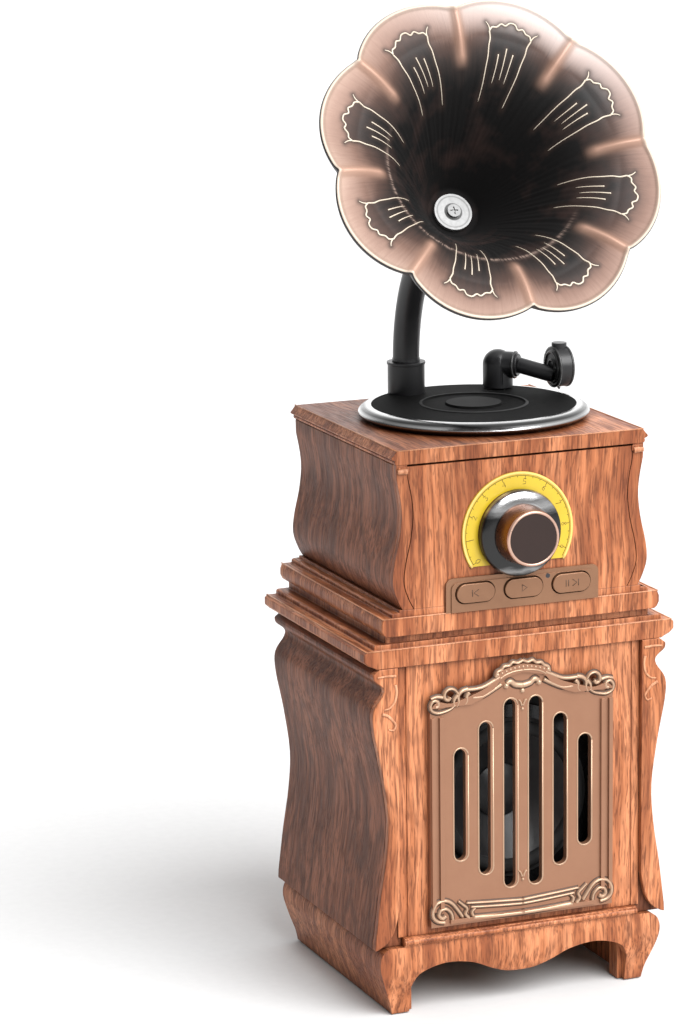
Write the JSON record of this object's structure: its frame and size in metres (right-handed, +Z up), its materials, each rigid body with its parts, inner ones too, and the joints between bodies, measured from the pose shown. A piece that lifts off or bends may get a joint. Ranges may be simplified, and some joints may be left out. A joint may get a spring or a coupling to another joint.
{
  "type": "horn loudspeaker",
  "caption": "Tower-shaped tabletop loudspeaker in a carved wooden case, with a slotted grille, tuning knob, keys, and a swivelling gramophone horn over a turntable disc.",
  "frame": {"origin": "centre of the cabinet's footprint, on the floor", "axes": "+Z up, the front with grille and keys faces -Y, +X to the viewer's right when facing the front"},
  "size_m": [0.112, 0.1169, 0.2978],
  "materials": {
    "wood": "wood-grain finish with a satin lacquer",
    "wood_dark": "raw board",
    "rubber": "matt",
    "steel": "plated",
    "baffle": "black painted board",
    "copper": "antiqued copper",
    "black_metal": "black",
    "cone": "coated",
    "dial": "printed",
    "knob_gloss": "polished dark plating",
    "knob_bronze": "bronze plating",
    "knob_face": "dark bronze plating",
    "bronze_plastic": "bronze paint",
    "board": "circuit board",
    "black_plastic": "satin",
    "led": "clear",
    "cell": "shrink sleeve",
    "disc_rim": "black with a polished rim",
    "horn_copper": "antiqued copper shading to black in the throat",
    "washer": "satin"
  },
  "bodies": {
    "cabinet": {"plinth": "wood", "foot_pads": "rubber", "bottom_board": "wood_dark", "bead_moulding": "wood", "side_wall_left": "wood", "side_wall_right": "wood", "pilaster_left": "wood", "pilaster_right": "wood", "lower_front_panel": "wood", "lower_back_panel": "wood", "back_cleats": "wood_dark", "back_screws": "steel", "baffle_board": "baffle", "lower_moulding": "wood", "upper_moulding": "wood", "upper_wall_left": "wood", "upper_wall_right": "wood", "corner_post_left": "wood", "corner_post_right": "wood", "upper_front_panel": "wood", "upper_back_panel": "wood", "lid": "wood", "grille_plate": "copper", "driver_basket": "black_metal", "driver_surround": "rubber", "driver_cone": "cone", "driver_dust_cap": "cone", "driver_magnet": "steel", "dial_scale": "dial", "encoder": "steel", "button_panel": "bronze_plastic", "key_board": "board", "key_switches": "black_plastic", "led": "led", "port_plate": "black_plastic", "main_board": "board", "charging_inlet": "steel", "audio_jack": "black_plastic", "power_switch": "steel", "battery": "cell", "platter": "disc_rim", "record": "black_plastic", "horn_collar": "black_plastic", "arm_pivot": "steel"},
    "horn": {"gooseneck": "black_plastic", "horn_bell": "horn_copper", "throat_washer": "washer", "throat_screw": "steel"},
    "tonearm": {"arm_post": "black_plastic", "arm_tube": "black_plastic", "soundbox": "black_plastic", "needle": "steel"},
    "knob": {"knob_shaft": "steel", "knob_skirt": "knob_gloss", "knob_barrel": "knob_bronze", "knob_face": "knob_face"},
    "key_previous": {"key_previous": "bronze_plastic"},
    "key_play": {"key_play": "bronze_plastic"},
    "key_next": {"key_next": "bronze_plastic"},
    "power_slider": {"power_slider": "black_plastic"}
  },
  "joints": [
    {"name": "horn_swivel", "type": "hinge", "parent": "cabinet", "child": "horn", "pos_m": [-0.0087, 0.025, 0.18], "axis": [0, 0, 1], "range_deg": [-90, 90]},
    {"name": "tonearm_swing", "type": "hinge", "parent": "cabinet", "child": "tonearm", "pos_m": [0.0196, 0.02, 0.18], "axis": [0, 0, 1], "range_deg": [-55, 35]},
    {"name": "knob_turn", "type": "hinge", "parent": "cabinet", "child": "knob", "pos_m": [-0.0014, -0.045, 0.144], "axis": [0, -1, 0], "range_deg": [-130, 130]},
    {"name": "key_previous_press", "type": "slide", "parent": "cabinet", "child": "key_previous", "axis": [0, 1, 0], "range_m": [0, 0.0007], "stiffness_N_per_m": 250},
    {"name": "key_play_press", "type": "slide", "parent": "cabinet", "child": "key_play", "axis": [0, 1, 0], "range_m": [0, 0.0007], "stiffness_N_per_m": 250},
    {"name": "key_next_press", "type": "slide", "parent": "cabinet", "child": "key_next", "axis": [0, 1, 0], "range_m": [0, 0.0007], "stiffness_N_per_m": 250},
    {"name": "power_slide", "type": "slide", "parent": "cabinet", "child": "power_slider", "axis": [1, 0, 0], "range_m": [0, 0.004]}
  ]
}
